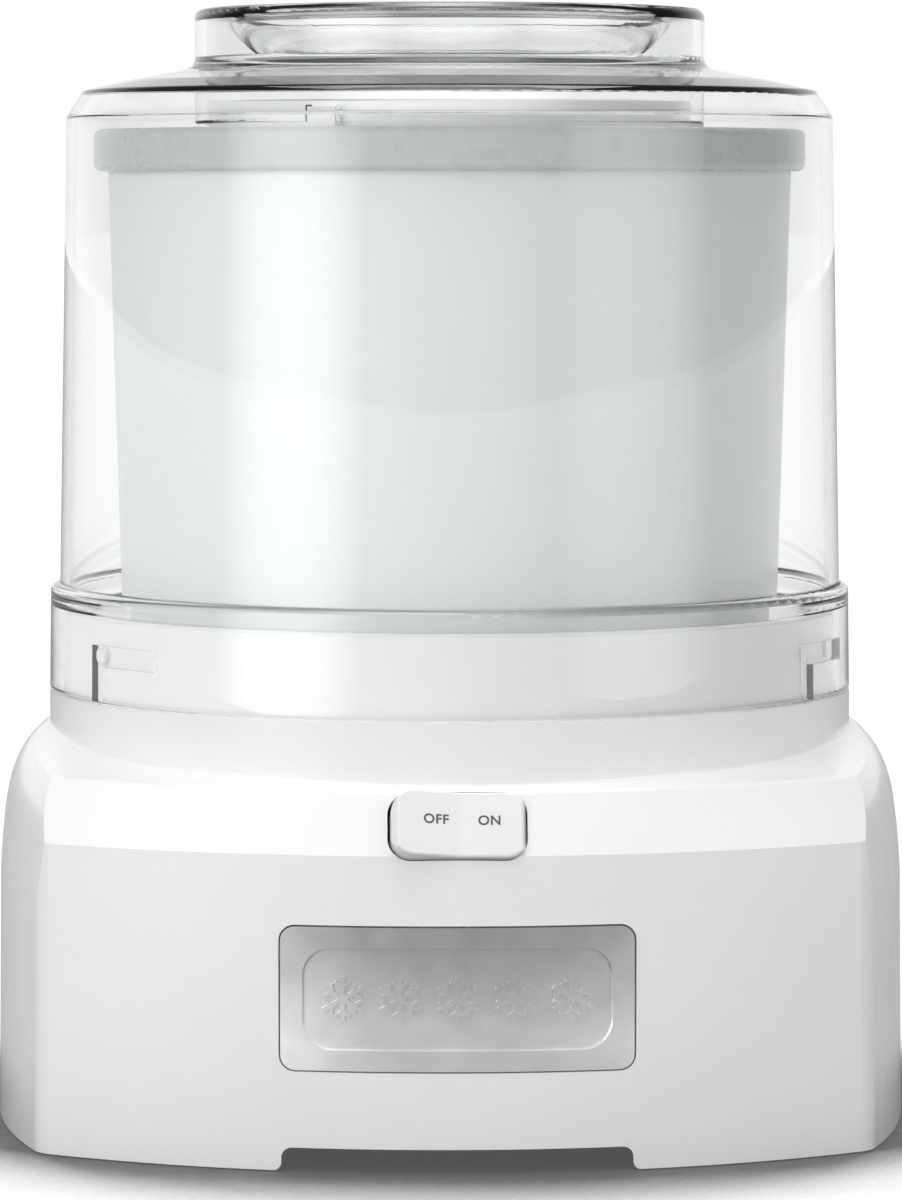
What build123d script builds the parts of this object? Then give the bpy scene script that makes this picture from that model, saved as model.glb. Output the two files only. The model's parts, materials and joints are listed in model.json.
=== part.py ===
from build123d import *
import math
import os

# Frozen-bowl ice cream maker: base with motor and gears, freezer bowl, mixing paddle, clear lid.
# Millimetres, +Z up, origin on the floor under the axis of the bowl, front towards -Y.

# ---------------------------------------------------------------- driving dimensions
TOTAL_HEIGHT = 285.75
FIT = 0.05            # running fit of a pin or shaft, on the radius

# base housing
HOUSING_BOTTOM = 0.4
WALL = 3.0
FRONT_DEPTH = 115.0   # axis to front wall at the floor
FRONT_RADIUS = 192.0  # plan radius of the front and back walls
SIDE_REACH = 118.1    # axis to side wall at the floor
SIDE_RADIUS = 255.1   # plan radius of the side walls
WALL_TAPER = 0.55     # degrees
CORNER_RADIUS = 9.0
FACET_LOW_Z = 77.7
FACET_HIGH_Z = 93.2
FACET_RUN = 8.0       # how far the facet leans in over its height
SHOULDER_TOP_Z = 101.4
NECK_RADIUS = 104.7
NECK_TOP_Z = 109.3
COLLAR_RADIUS = 100.6
COLLAR_TOP_Z = 130.7
WELL_RADIUS = 97.9
DECK_TOP_Z = 95.0
DECK_BOTTOM_Z = 92.0
NOTCH_WIDTH = 86.0
NOTCH_TOP_Z = 6.1
LUG_ANGLES = (-150.0, -30.0, 90.0)
LUG_Z = 121.5

# switch, set in the facet
BUTTON_LENGTH = 33.3
BUTTON_HEIGHT = 16.9
BUTTON_GAP = 0.4
ROCK_ANGLE = 5.5      # each way from level
ROCK_DEPTH = 5.0      # pivot below the facet

# nameplate on the front wall
PLATE_WIDTH = 86.4
PLATE_HEIGHT = 35.2
PLATE_MID_Z = 42.8

# bottom closure
COVER_BOTTOM_Z = 8.0
COVER_THICK = 2.5
FOOT_RADIUS = 9.0
FOOT_SPOTS = [(sx * 82.0, sy * 80.0) for sx in (-1, 1) for sy in (-1, 1)]
SCREW_SPOTS = [(sx * 92.0, sy * 58.0) for sx in (-1, 1) for sy in (-1, 1)]

# cord pocket in the back wall
POCKET_WIDTH = 44.0
POCKET_HEIGHT = 20.0
POCKET_DEPTH = 40.0
POCKET_LOW_Z = 13.0
GLAND_AT = (0.0, FRONT_DEPTH - POCKET_DEPTH, POCKET_LOW_Z + 10.0)

# gear train: pinion and wheel tooth counts of the three stages, motor first
PINION_TEETH = 12
STAGE_1 = dict(module=0.8, wheel=48, z=56.0, face=5.0)
STAGE_2 = dict(module=1.0, wheel=60, z=62.5, face=6.5)
STAGE_3 = dict(module=1.25, wheel=60, z=70.5, face=9.0)
PRESSURE_ANGLE = 25.0
BACKLASH = 0.14
PIN_RADIUS = 2.5
CASE_FLOOR_Z = 51.5
CASE_INNER_Z = 54.0
CASE_SPLIT_Z = 81.0
CASE_TOP_Z = 84.0
CASE_WALL = 2.5


def stage_distance(stage):
    """Centre distance of a pinion and its wheel."""
    return stage["module"] * (PINION_TEETH + stage["wheel"]) / 2


OUTPUT_AT = (0.0, 0.0)
IDLER_2_AT = (-stage_distance(STAGE_3), 0.0)
IDLER_1_AT = (IDLER_2_AT[0], stage_distance(STAGE_2))
MOTOR_AT = (IDLER_1_AT[0] + stage_distance(STAGE_1), IDLER_1_AT[1])
CASE_EARS = [(40.0, 30.0), (40.0, -32.0), (-74.0, -28.0), (-66.0, 58.0)]

# motor
STACK_Z = (19.0, 37.0)
STACK_NEAR = 24.0     # rotor axis to the plain end of the stack
STACK_FAR = 44.0      # rotor axis to the coil end
STACK_HALF = 25.0
ROTOR_RADIUS = 12.6
BORE_RADIUS = 13.0
MOTOR_SHAFT_RADIUS = 2.5
MOTOR_SCREW_OFFSET = 20.0
LEG_IN, LEG_OUT = 30.0, 44.0
COIL_HALF = 13.0

# drive to the bowl
OUTPUT_SHAFT_RADIUS = 5.0
HUB_BOTTOM_Z = 95.6
HUB_FLANGE_RADIUS = 30.0
HUB_FLANGE_THICK = 1.6
HUB_TOP_Z = 107.0
HUB_ROOT_RADIUS = 11.0
HUB_RIB_RADIUS = 13.5
HUB_RIBS = 6

# freezer bowl
BOWL_BOTTOM_Z = HUB_BOTTOM_Z + HUB_FLANGE_THICK + 0.3
BOWL_TOP_RADIUS = 89.1
BOWL_FOOT_RADIUS = 84.8
BOWL_SKIN = 2.2
SHELL_TOP_Z = 250.0
RIM_BOTTOM_Z = 243.8
RIM_TOP_Z = 254.6
RIM_RADIUS = 92.6
LINER_TOP_RADIUS = 75.8
LINER_FOOT_RADIUS = 71.8
LINER_SKIN = 1.5
LINER_FLOOR_Z = 114.0
SOCKET_TOP_Z = 110.0

# lid
LID_BOTTOM_Z = NECK_TOP_Z + 0.35
SKIRT_FOOT_RADIUS = 104.7
SKIRT_TOP_RADIUS = 104.3
SKIRT_INNER = 101.3
LID_SHOULDER_Z = 258.0
RING_RADIUS = 66.35
RING_WALL = 3.2
TUBE_BOTTOM_Z = 256.0
TWIST_DEGREES = 12.0
TRACK_OUTER = 102.9
KEY_ANGLES = (0.0, 120.0, 240.0)

# mixing paddle
PADDLE_RING_OUTER = RING_RADIUS - RING_WALL - 0.6
PADDLE_RING_INNER = 56.5
PADDLE_TOP_Z = 260.0
PADDLE_RING_BOTTOM_Z = 246.0
PADDLE_FOOT_Z = LINER_FLOOR_Z + 0.6


# ---------------------------------------------------------------- shared shapes
def save(name, shape):
    """Write one sub-part."""
    solids = shape.solids()
    body = solids[0] if len(solids) == 1 else Compound(children=list(solids))
    body.label = name
    export_step(body, f"parts/{name}.step")


def rod(radius, low, high, at=(0.0, 0.0)):
    """An upright round bar."""
    centred_on_end = (Align.CENTER, Align.CENTER, Align.MIN)
    return Pos(at[0], at[1], low) * Cylinder(radius, high - low, align=centred_on_end)


def tube(outer, inner, low, high, at=(0.0, 0.0)):
    """An upright round tube."""
    return rod(outer, low, high, at) - rod(inner, low - 1, high + 1, at)


def block(x, y, z):
    """A box between pairs of limits."""
    sizes = [high - low for low, high in (x, y, z)]
    return Pos(x[0], y[0], z[0]) * Box(*sizes, align=(Align.MIN, Align.MIN, Align.MIN))


def turned_points(*points):
    """A full turn about Z of a polygon of (distance, height) corners."""
    face = make_face(Polyline(*[(x, 0, z) for x, z in points], close=True))
    return revolve(face, Axis.Z)


def polar(radius, degrees, z=0.0):
    """A point at an angle about the bowl's axis."""
    return (radius * math.cos(math.radians(degrees)), radius * math.sin(math.radians(degrees)), z)


# ---------------------------------------------------------------- base housing
def plan_outline(inset):
    """The base's four-arc plan at the floor."""
    front = Pos(0, FRONT_RADIUS - FRONT_DEPTH) * Circle(FRONT_RADIUS - inset)
    back = Pos(0, FRONT_DEPTH - FRONT_RADIUS) * Circle(FRONT_RADIUS - inset)
    right = Pos(SIDE_REACH - SIDE_RADIUS, 0) * Circle(SIDE_RADIUS - inset)
    left = Pos(SIDE_RADIUS - SIDE_REACH, 0) * Circle(SIDE_RADIUS - inset)
    plan = front & back & right & left
    return fillet(plan.vertices(), CORNER_RADIUS - inset)


def facet_limit(inset):
    """Everything behind the leaning facet and the deck, about the front wall's centre."""
    low = FRONT_RADIUS - 0.7
    high = low - FACET_RUN
    lean = FACET_RUN / (FACET_HIGH_Z - FACET_LOW_Z)
    drop = 18.0
    outer = low + lean * drop - inset
    roof = SHOULDER_TOP_Z - inset
    return turned_points(
        (0, -5), (outer, -5), (outer, FACET_LOW_Z - drop),
        (high - inset, FACET_HIGH_Z - 0.5 * inset), (129.0, roof), (0, roof),
    )


def shoulder_limit(inset):
    """Everything inside the rounded side shoulder, about the side wall's centre."""
    shift = SIDE_RADIUS - SIDE_REACH
    points = [(119.4, 20.0), (117.9, 50.0), (116.5, 76.4), (112.8, 92.1), (104.4, SHOULDER_TOP_Z)]
    curve = Spline(*[(x + shift - inset, 0, z - (inset if z == SHOULDER_TOP_Z else 0)) for x, z in points])
    rest = Polyline(curve @ 1, (0, 0, (curve @ 1).Z), (0, 0, -5), ((curve @ 0).X, 0, -5), curve @ 0)
    return revolve(make_face(Wire([curve, *rest.edges()])), Axis.Z)


def base_mass(inset=0.0):
    """The base's outer form below the neck, or the same form drawn in by a wall."""
    mass = extrude(plan_outline(inset), SHOULDER_TOP_Z, taper=WALL_TAPER)
    facet = facet_limit(inset)
    shoulder = shoulder_limit(inset)
    offset_y = FRONT_RADIUS - FRONT_DEPTH
    offset_x = SIDE_RADIUS - SIDE_REACH
    mass = mass & Pos(0, offset_y, 0) * facet & Pos(0, -offset_y, 0) * facet
    return mass & Pos(-offset_x, 0, 0) * shoulder & Pos(offset_x, 0, 0) * shoulder


def facet_plane():
    """Plane of the facet at the switch: x along the button, z outwards."""
    low = (0, -FRONT_DEPTH + 0.7, FACET_LOW_Z)
    slope = Vector(0, FACET_RUN, FACET_HIGH_Z - FACET_LOW_Z).normalized()
    middle = Vector(*low) + slope * (0.5 * math.hypot(FACET_RUN, FACET_HIGH_Z - FACET_LOW_Z) - 0.6)
    return Plane(origin=middle, x_dir=(1, 0, 0), z_dir=Vector(1, 0, 0).cross(slope))


def front_bar(width, height, corner, near_y=-90.0, far_y=-125.0):
    """A rounded rectangle about the nameplate's middle, run through the front wall."""
    sketch = Plane((0, near_y, PLATE_MID_Z), x_dir=(1, 0, 0), z_dir=(0, -1, 0)) * RectangleRounded(
        width, height, corner
    )
    return extrude(sketch, near_y - far_y)


def front_round(radius):
    """A cylinder about the front wall's centre."""
    return rod(radius, 0, 80, (0, FRONT_RADIUS - FRONT_DEPTH))


def foot_notch():
    """The finger gap under the front wall, flared at the foot and rounded at the ceiling."""
    half = NOTCH_WIDTH / 2
    foot = HOUSING_BOTTOM
    points = [(-half - 12, foot - 5), (half + 12, foot - 5), (half + 12, foot), (half, foot),
              (half, NOTCH_TOP_Z), (-half, NOTCH_TOP_Z), (-half, foot), (-half - 12, foot)]
    face = Polygon(*points, align=None)
    ceiling = face.vertices().filter_by_position(Axis.Y, NOTCH_TOP_Z - 0.1, NOTCH_TOP_Z + 0.1)
    face = fillet(ceiling, 2.6)
    knees = [v for v in face.vertices() if abs(abs(v.X) - half) < 0.1 and abs(v.Y - foot) < 0.1]
    face = fillet(knees, 2.0)
    return extrude(Plane((0, -60, 0), x_dir=(1, 0, 0), z_dir=(0, -1, 0)) * face, 70)


def sector(inner, outer, low, high, start, sweep):
    """A piece of an upright ring between two angles."""
    face = Plane.XZ * Pos((inner + outer) / 2, (low + high) / 2) * Rectangle(outer - inner, high - low)
    return Rot(0, 0, start) * revolve(face, Axis.Z, revolution_arc=sweep)


def case_screws_bosses():
    """Bosses under the deck for the gearbox screws."""
    return [tube(5.0, 1.6, CASE_TOP_Z + 0.1, DECK_BOTTOM_Z + 1, ear) for ear in CASE_EARS]


def is_neck_root(edge):
    """True for the edges where the neck meets the deck and the shoulders."""
    spot = edge @ 0.3
    on_neck = abs(math.hypot(spot.X, spot.Y) - NECK_RADIUS) < 0.05
    level = abs((edge @ 0).Z - (edge @ 1).Z) < 10
    return on_neck and spot.Z < SHOULDER_TOP_Z + 2 and edge.length > 2 and level


def base_housing():
    """The white shell: tapered body, facet, rounded shoulders, neck, collar and bowl well."""
    mass = base_mass()
    mass = fillet([e for e in mass.edges() if e.length > 150 and abs(e.center().Z - FACET_HIGH_Z) < 0.4], 2.0)
    mass += rod(NECK_RADIUS, 60, NECK_TOP_Z)
    mass = fillet([e for e in mass.edges() if is_neck_root(e)], 1.2)
    mass += rod(COLLAR_RADIUS, 90, COLLAR_TOP_Z)
    mass = fillet(mass.edges().group_by(Axis.Z)[-1], 0.8)
    for angle in LUG_ANGLES:
        lug = Plane(polar(99, angle, LUG_Z), x_dir=(0, 0, 1), z_dir=polar(1, angle)) * Cylinder(
            2.3, 3.3, align=(Align.CENTER, Align.CENTER, Align.MIN)
        )
        mass += fillet(lug.edges().sort_by_distance(polar(110, angle, LUG_Z))[0], 0.7)
    outer = mass
    hollow = base_mass(WALL) - rod(NECK_RADIUS, DECK_BOTTOM_Z, SHOULDER_TOP_Z + 5)
    mass -= hollow
    mass -= rod(WELL_RADIUS, DECK_TOP_Z, COLLAR_TOP_Z + 5)
    for spot in SCREW_SPOTS:
        mass += rod(4.5, COVER_BOTTOM_Z + COVER_THICK + 0.1, SHOULDER_TOP_Z, spot) & outer
        mass -= rod(1.6, 0, 30, spot)
    mass += case_screws_bosses()
    mass -= rod(9.2, DECK_BOTTOM_Z - 1, DECK_TOP_Z + 1)
    mass -= block((-140, 140), (-140, 140), (-5, HOUSING_BOTTOM))
    mass -= foot_notch()
    plane = facet_plane()
    opening = RectangleRounded(BUTTON_LENGTH + 2 * BUTTON_GAP, BUTTON_HEIGHT + 2 * BUTTON_GAP, 5.7)
    mass -= extrude(plane.offset(-12) * opening, 30)
    mass -= plane * block((-18.9, 18.9), (-10.9, 9.8), (-26, -3.0))
    mass -= front_bar(PLATE_WIDTH + 0.8, PLATE_HEIGHT + 0.8, 4.0) - front_round(FRONT_RADIUS - 2.7)
    mass -= cord_box_outline(0.3)
    return mass


def cord_box_outline(grow=0.0):
    """The outside of the cord pocket in the back wall."""
    x = POCKET_WIDTH / 2 + 2 + grow
    z = (POCKET_LOW_Z - 2 - grow, POCKET_LOW_Z + POCKET_HEIGHT + 2 + grow)
    far = FRONT_DEPTH - POCKET_DEPTH - 2 - grow
    return block((-x, x), (far, FRONT_DEPTH + 5), z)


def cord_pocket():
    """The open box behind the back wall that takes the spare cord."""
    box = cord_box_outline() & base_mass(0.4)
    x = POCKET_WIDTH / 2
    far = FRONT_DEPTH - POCKET_DEPTH
    box -= block((-x, x), (far, FRONT_DEPTH + 10), (POCKET_LOW_Z, POCKET_LOW_Z + POCKET_HEIGHT))
    return box - Plane(GLAND_AT, z_dir=(0, 1, 0)) * Cylinder(4.05, 20)


def cord_gland():
    """The empty strain-relief bush in the pocket's end wall."""
    far = FRONT_DEPTH - POCKET_DEPTH
    place = Plane((GLAND_AT[0], far, GLAND_AT[2]), z_dir=(0, 1, 0))
    bottom = (Align.CENTER, Align.CENTER, Align.MIN)
    gland = place * Cylinder(6.0, 2.5, align=bottom)
    gland += place.offset(-7) * Cylinder(4.0, 8, align=bottom)
    gland += place.offset(-5.2) * Cylinder(5.2, 3, align=bottom)
    return gland - place.offset(-8) * Cylinder(2.2, 14, align=bottom)


def bottom_cover():
    """The vented plate that closes the base."""
    plan = plan_outline(WALL + 0.5)
    plate = Pos(0, 0, COVER_BOTTOM_Z) * extrude(plan, COVER_THICK)
    for x, y in SCREW_SPOTS:
        plate -= rod(2.2, 0, 20, (x, y))
    for x, y in FOOT_SPOTS:
        plate -= rod(3.0, 0, 20, (x, y))
    for step in range(-4, 5):
        x = MOTOR_AT[0] + 7.0 * step
        slot = Pos(x, MOTOR_AT[1], COVER_BOTTOM_Z - 1) * extrude(SlotOverall(34, 3.0, rotation=90), 5)
        plate -= slot
    for step in range(-3, 4):
        slot = Pos(55 + 7.0 * step, -30, COVER_BOTTOM_Z - 1) * extrude(SlotOverall(34, 3.0, rotation=90), 5)
        plate -= slot
    return plate


def rubber_feet():
    """Four push-in feet."""
    feet = []
    for spot in FOOT_SPOTS:
        foot = fillet(rod(FOOT_RADIUS, 0, COVER_BOTTOM_Z, spot).edges().group_by(Axis.Z)[0], 1.2)
        foot += rod(2.95, COVER_BOTTOM_Z - 1, COVER_BOTTOM_Z + COVER_THICK + 2.5, spot)
        foot += rod(4.0, COVER_BOTTOM_Z + COVER_THICK + 0.05, COVER_BOTTOM_Z + COVER_THICK + 2.0, spot)
        feet.append(foot)
    return Compound(children=[solid for foot in feet for solid in foot.solids()])


def screws(spots, head_z, tip_z, shank, head_radius, head_height):
    """Cross-headed screws driven upwards, heads below."""
    made = []
    for spot in spots:
        screw = rod(shank, head_z - 0.5, tip_z, spot) + rod(head_radius, head_z - head_height, head_z, spot)
        cross = block((-0.5, 0.5), (-0.6 * head_radius, 0.6 * head_radius), (-1, 0.5 * head_height))
        cross += Rot(0, 0, 90) * cross
        made += (screw - Pos(spot[0], spot[1], head_z - head_height) * cross).solids()
    return Compound(children=made)


# ---------------------------------------------------------------- nameplate
def snowflake():
    """A raised six-armed flake, 11 mm across, in the plane of the plate."""
    arm = Pos(0, 2.75) * Rectangle(1.1, 5.5)
    for side in (-1, 1):
        arm += Pos(0, 3.0) * Rot(0, 0, side * 55) * Pos(0, 1.0) * Rectangle(0.8, 2.4)
    return Sketch() + [Rot(0, 0, 60 * turn) * arm for turn in range(6)]


def nameplate():
    """A curved metal plate with a sunk panel and a row of plain flakes."""
    plate = front_bar(PLATE_WIDTH, PLATE_HEIGHT, 3.6) & front_round(FRONT_RADIUS - 0.1)
    plate -= front_round(FRONT_RADIUS - 2.6)
    panel = front_bar(75.7, 25.0, 7.0)
    plate -= panel - front_round(FRONT_RADIUS - 0.9)
    layer = front_round(FRONT_RADIUS - 0.25) - front_round(FRONT_RADIUS - 1.5)
    for step in range(-2, 3):
        place = Plane((14.0 * step, -90, PLATE_MID_Z), x_dir=(1, 0, 0), z_dir=(0, -1, 0))
        plate += extrude(place * snowflake(), 35) & layer
    return plate


# ---------------------------------------------------------------- switch
def rocker_button():
    """The two-way rocker with its trunnions, at rest with its right half pressed."""
    half = BUTTON_LENGTH / 2
    rise = half * math.tan(math.radians(ROCK_ANGLE))
    outline = extrude(Pos(0, 0, -9) * RectangleRounded(BUTTON_LENGTH, BUTTON_HEIGHT, 5.3), 14)
    corners = [(-half, -9), (half, -9), (half, 1.0 + rise), (0, 1.0), (-half, 1.0 + rise)]
    top = Plane.XZ * Polygon(*corners, align=None)
    button = outline & extrude(top, 20, both=True)
    button &= Pos(0, 0, -ROCK_DEPTH) * Rot(90, 0, 0) * Cylinder(17.0, 40)
    button = fillet(button.edges().filter_by(lambda e: e.center().Z > 0.5), 0.7)
    button += Pos(0, 0, -ROCK_DEPTH) * Rot(90, 0, 0) * Cylinder(1.3, 18.4)
    tilt = Pos(0, 0, -ROCK_DEPTH) * Rot(0, ROCK_ANGLE, 0) * Pos(0, 0, ROCK_DEPTH)
    return facet_plane() * tilt * button


def switch_body():
    """The black switch case behind the panel, with two terminals."""
    case = block((-18.5, 18.5), (-10.5, 9.4), (-24, -3.3))
    case -= block((-17.3, 17.3), (-8.7, 8.7), (-14.5, 0))
    case -= Pos(0, 0, -ROCK_DEPTH) * Rot(90, 0, 0) * Cylinder(1.3 + FIT, 21.4)
    for x in (-9, 0, 9):
        case += block((x - 0.4, x + 0.4), (-3, 3), (-32, -23))
    return facet_plane() * case


# ---------------------------------------------------------------- gears
def gear(teeth, module, low, high, at, phase):
    """A spur gear with involute flanks, one tooth centred on the angle phase."""
    pitch = module * teeth / 2
    base = pitch * math.cos(math.radians(PRESSURE_ANGLE))
    tip, root = pitch + module, pitch - 1.25 * module
    start = max(base, root)

    def roll(radius):
        angle = math.acos(min(1.0, base / radius))
        return math.tan(angle) - angle

    half_tooth = math.pi / (2 * teeth) - BACKLASH / (4 * pitch) * 2 + roll(pitch)

    def flank(radius, centre, side):
        angle = centre + side * (half_tooth - roll(radius))
        return (radius * math.cos(angle), radius * math.sin(angle))

    edges, last = [], None
    first = None
    middle = math.sqrt((start**2 + tip**2) / 2)
    for tooth in range(teeth):
        centre = math.radians(phase) + 2 * math.pi * tooth / teeth
        low_angle, high_angle = centre - half_tooth + roll(start), centre + half_tooth - roll(start)
        foot_in = (root * math.cos(low_angle), root * math.sin(low_angle))
        foot_out = (root * math.cos(high_angle), root * math.sin(high_angle))
        up = [flank(r, centre, -1) for r in (start, middle, tip)]
        down = [flank(r, centre, 1) for r in (tip, middle, start)]
        if last is not None:
            edges.append(Line(last, foot_in))
        else:
            first = foot_in
        if start > root:
            edges.append(Line(foot_in, up[0]))
        edges += [ThreePointArc(*up), Line(up[2], down[0]), ThreePointArc(*down)]
        if start > root:
            edges.append(Line(down[2], foot_out))
        last = foot_out
    edges.append(Line(last, first))
    face = make_face(Wire([edge.edge() if hasattr(edge, "edge") else edge for edge in edges]))
    return Pos(at[0], at[1], low) * extrude(face, high - low)


def bearing_of(start, end):
    """The plan angle from one axis to another."""
    return math.degrees(math.atan2(end[1] - start[1], end[0] - start[0]))


def meshed_pair(stage, pinion_at, wheel_at, pinion_z):
    """A pinion and a wheel in mesh on their line of centres."""
    line = bearing_of(pinion_at, wheel_at)
    pinion = gear(PINION_TEETH, stage["module"], pinion_z[0], pinion_z[1], pinion_at, line)
    gap_phase = line + 180 - 180 / stage["wheel"]
    wheel = gear(stage["wheel"], stage["module"], stage["z"], stage["z"] + stage["face"], wheel_at, gap_phase)
    return pinion, wheel


def gear_train():
    """The motor pinion, both idlers and the output gear."""
    motor_pinion, wheel_1 = meshed_pair(STAGE_1, MOTOR_AT, IDLER_1_AT, (55.4, 61.4))
    pinion_2, wheel_2 = meshed_pair(STAGE_2, IDLER_1_AT, IDLER_2_AT, (60.5, 69.6))
    pinion_3, wheel_3 = meshed_pair(STAGE_3, IDLER_2_AT, OUTPUT_AT, (68.5, 79.2))
    idler_1 = wheel_1 + pinion_2 + tube(4.6, PIN_RADIUS, 55.8, 79.2, IDLER_1_AT)
    idler_1 -= rod(PIN_RADIUS + FIT, 50, 90, IDLER_1_AT)
    idler_2 = wheel_2 + pinion_3 + tube(5.6, PIN_RADIUS, 55.8, 79.2, IDLER_2_AT)
    idler_2 -= tube(24.5, 12.0, STAGE_2["z"] + 4.0, STAGE_2["z"] + 8, IDLER_2_AT)
    idler_2 -= rod(PIN_RADIUS + FIT, 50, 90, IDLER_2_AT)
    output = wheel_3 + rod(11, 60.3, 80.7)
    output -= tube(31.5, 16.0, STAGE_3["z"] + 6.0, STAGE_3["z"] + 10)
    output -= tube(31.5, 16.0, STAGE_3["z"] - 1.0, STAGE_3["z"] + 3.0)
    output -= rod(OUTPUT_SHAFT_RADIUS + 0.02, 50, 100)
    motor_pinion -= rod(MOTOR_SHAFT_RADIUS + 0.02, 50, 90, MOTOR_AT)
    return motor_pinion, idler_1, idler_2, output


# ---------------------------------------------------------------- gearbox
def case_outline(inset=0.0):
    """The gearbox plan: a hull about the wheels and the screw ears."""
    rounds = [(OUTPUT_AT, 42.0), (IDLER_2_AT, 34.5), (IDLER_1_AT, 23.5)] + [(ear, 7.0) for ear in CASE_EARS]
    circles = Sketch() + [Pos(*at) * Circle(radius - inset) for at, radius in rounds]
    return make_hull(circles.edges())


def gearbox_lower():
    """The deep half of the gearbox, which also carries the motor."""
    case = Pos(0, 0, CASE_FLOOR_Z) * extrude(case_outline(), CASE_SPLIT_Z - CASE_FLOOR_Z)
    case -= Pos(0, 0, CASE_INNER_Z) * extrude(case_outline(CASE_WALL), CASE_SPLIT_Z - CASE_INNER_Z + 1)
    for ear in CASE_EARS:
        case += rod(5.0, CASE_FLOOR_Z, CASE_SPLIT_Z, ear)
        case -= rod(2.1, CASE_FLOOR_Z - 1, CASE_SPLIT_Z + 1, ear)
    case += rod(11, CASE_FLOOR_Z, 59.9) - rod(7.95, 50, 62)
    case -= rod(7.95, 50, 62)
    for pin in (IDLER_1_AT, IDLER_2_AT):
        case += rod(4.5, CASE_FLOOR_Z, 55.5, pin)
        case -= rod(PIN_RADIUS, 52.5, 60, pin)
    case -= rod(6.5, 50, 56, MOTOR_AT)
    for side in (-1, 1):
        case -= rod(1.6, 50, 56, (MOTOR_AT[0], MOTOR_AT[1] + side * MOTOR_SCREW_OFFSET))
    return case


def gearbox_upper():
    """The cover of the gearbox, with the tall boss of the output shaft."""
    cover = Pos(0, 0, CASE_SPLIT_Z) * extrude(case_outline(), CASE_TOP_Z - CASE_SPLIT_Z)
    cover += rod(8.8, CASE_SPLIT_Z, 94.5)
    cover -= rod(7.45, CASE_SPLIT_Z - 1, 95)
    for ear in CASE_EARS:
        cover -= rod(2.1, CASE_SPLIT_Z - 1, CASE_TOP_Z + 1, ear)
    for pin in (IDLER_1_AT, IDLER_2_AT):
        cover += rod(4.5, 79.5, CASE_TOP_Z, pin)
        cover -= rod(PIN_RADIUS, 79, 83, pin)
    return cover


def gear_pins():
    """The fixed pins of the two idlers."""
    pins = [rod(PIN_RADIUS, 52.5, 83, at).solid() for at in (IDLER_1_AT, IDLER_2_AT)]
    return Compound(children=pins)


def shaft_bushes():
    """The two sintered bushes of the output shaft."""
    bore = OUTPUT_SHAFT_RADIUS + FIT
    lower, upper = tube(7.95, bore, CASE_FLOOR_Z, 59.9), tube(7.45, bore, 81.2, 94.3)
    return Compound(children=[lower.solid(), upper.solid()])


def shaft_seal():
    """The rubber ring that keeps spills out of the gearbox."""
    return tube(8.6, OUTPUT_SHAFT_RADIUS + FIT, 94.55, 95.35)


# ---------------------------------------------------------------- motor
def motor_local(shape):
    """Place a shape that is drawn about the rotor's axis."""
    return Pos(MOTOR_AT[0], MOTOR_AT[1], 0) * shape


def motor_stack():
    """The laminated frame: rotor bore at one end, coil leg at the other."""
    low, high = STACK_Z
    stack = block((-STACK_NEAR, STACK_FAR), (-STACK_HALF, STACK_HALF), (low, high))
    stack = fillet(stack.edges().filter_by(Axis.Z), 3.0)
    stack -= rod(BORE_RADIUS, low - 1, high + 1)
    stack -= block((17.5, LEG_IN), (-COIL_HALF - 1, COIL_HALF + 1), (low - 1, high + 1))
    for side in (-1, 1):
        stack -= rod(2.1, low - 1, high + 1, (0, side * MOTOR_SCREW_OFFSET))
    return motor_local(stack)


def coil_box(grow, half):
    """A box about the coil leg."""
    return block((LEG_IN - grow, LEG_OUT + grow), (-half, half), (STACK_Z[0] - grow, STACK_Z[1] + grow))


def coil_bobbin():
    """The former of the winding, with two flanges."""
    former = coil_box(1.4, COIL_HALF)
    for side in (-1, 1):
        flange = coil_box(6.0, COIL_HALF) & block((0, 80), sorted((side * 11.6, side * 13.0)), (0, 80))
        former += flange
    return motor_local(former - coil_box(0.2, 40))


def coil_winding():
    """The copper winding on the bobbin."""
    return motor_local(fillet((coil_box(5.2, 11.5)).edges().filter_by(Axis.Y), 2.0) - coil_box(1.5, 40))


def motor_bracket(upper):
    """A pressed bridge across the stack that holds one bearing."""
    face = STACK_Z[1] if upper else STACK_Z[0]
    out = 1 if upper else -1

    def span(a, b):
        return tuple(sorted((face + out * a, face + out * b)))

    bridge = block((-8, 8), (-25, 25), span(4.0, 5.5)) + block((-8, 8), (14.0, 15.5), span(0, 5.5))
    bridge += block((-8, 8), (-15.5, -14.0), span(0, 5.5))
    bridge -= block((-9, 9), (15.5, 30), span(3, 7))
    bridge -= block((-9, 9), (-30, -15.5), span(3, 7))
    bridge += block((-8, 8), (14.0, 25), span(0, 1.5)) + block((-8, 8), (-25, -14.0), span(0, 1.5))
    low, high = span(2.6, 6.6)
    bridge += rod(6.5, low, high)
    bridge -= rod(4.5, low - 1, high + 1)
    for side in (-1, 1):
        bridge -= rod(2.1, 10, 50, (0, side * MOTOR_SCREW_OFFSET))
    return motor_local(bridge)


def motor_bushes():
    """The two sintered bushes of the motor."""
    spans = [(STACK_Z[0] - 6.6, STACK_Z[0] - 2.6), (STACK_Z[1] + 2.6, STACK_Z[1] + 6.6)]
    bushes = [motor_local(tube(4.5, MOTOR_SHAFT_RADIUS + FIT, low, high)).solid() for low, high in spans]
    return Compound(children=bushes)


def motor_screws():
    """Two long screws through stack, brackets and spacers into the gearbox floor."""
    spots = [(MOTOR_AT[0], MOTOR_AT[1] + side * MOTOR_SCREW_OFFSET) for side in (-1, 1)]
    return screws(spots, STACK_Z[0] - 1.5, 53.5, 1.55, 3.4, 2.6)


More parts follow.
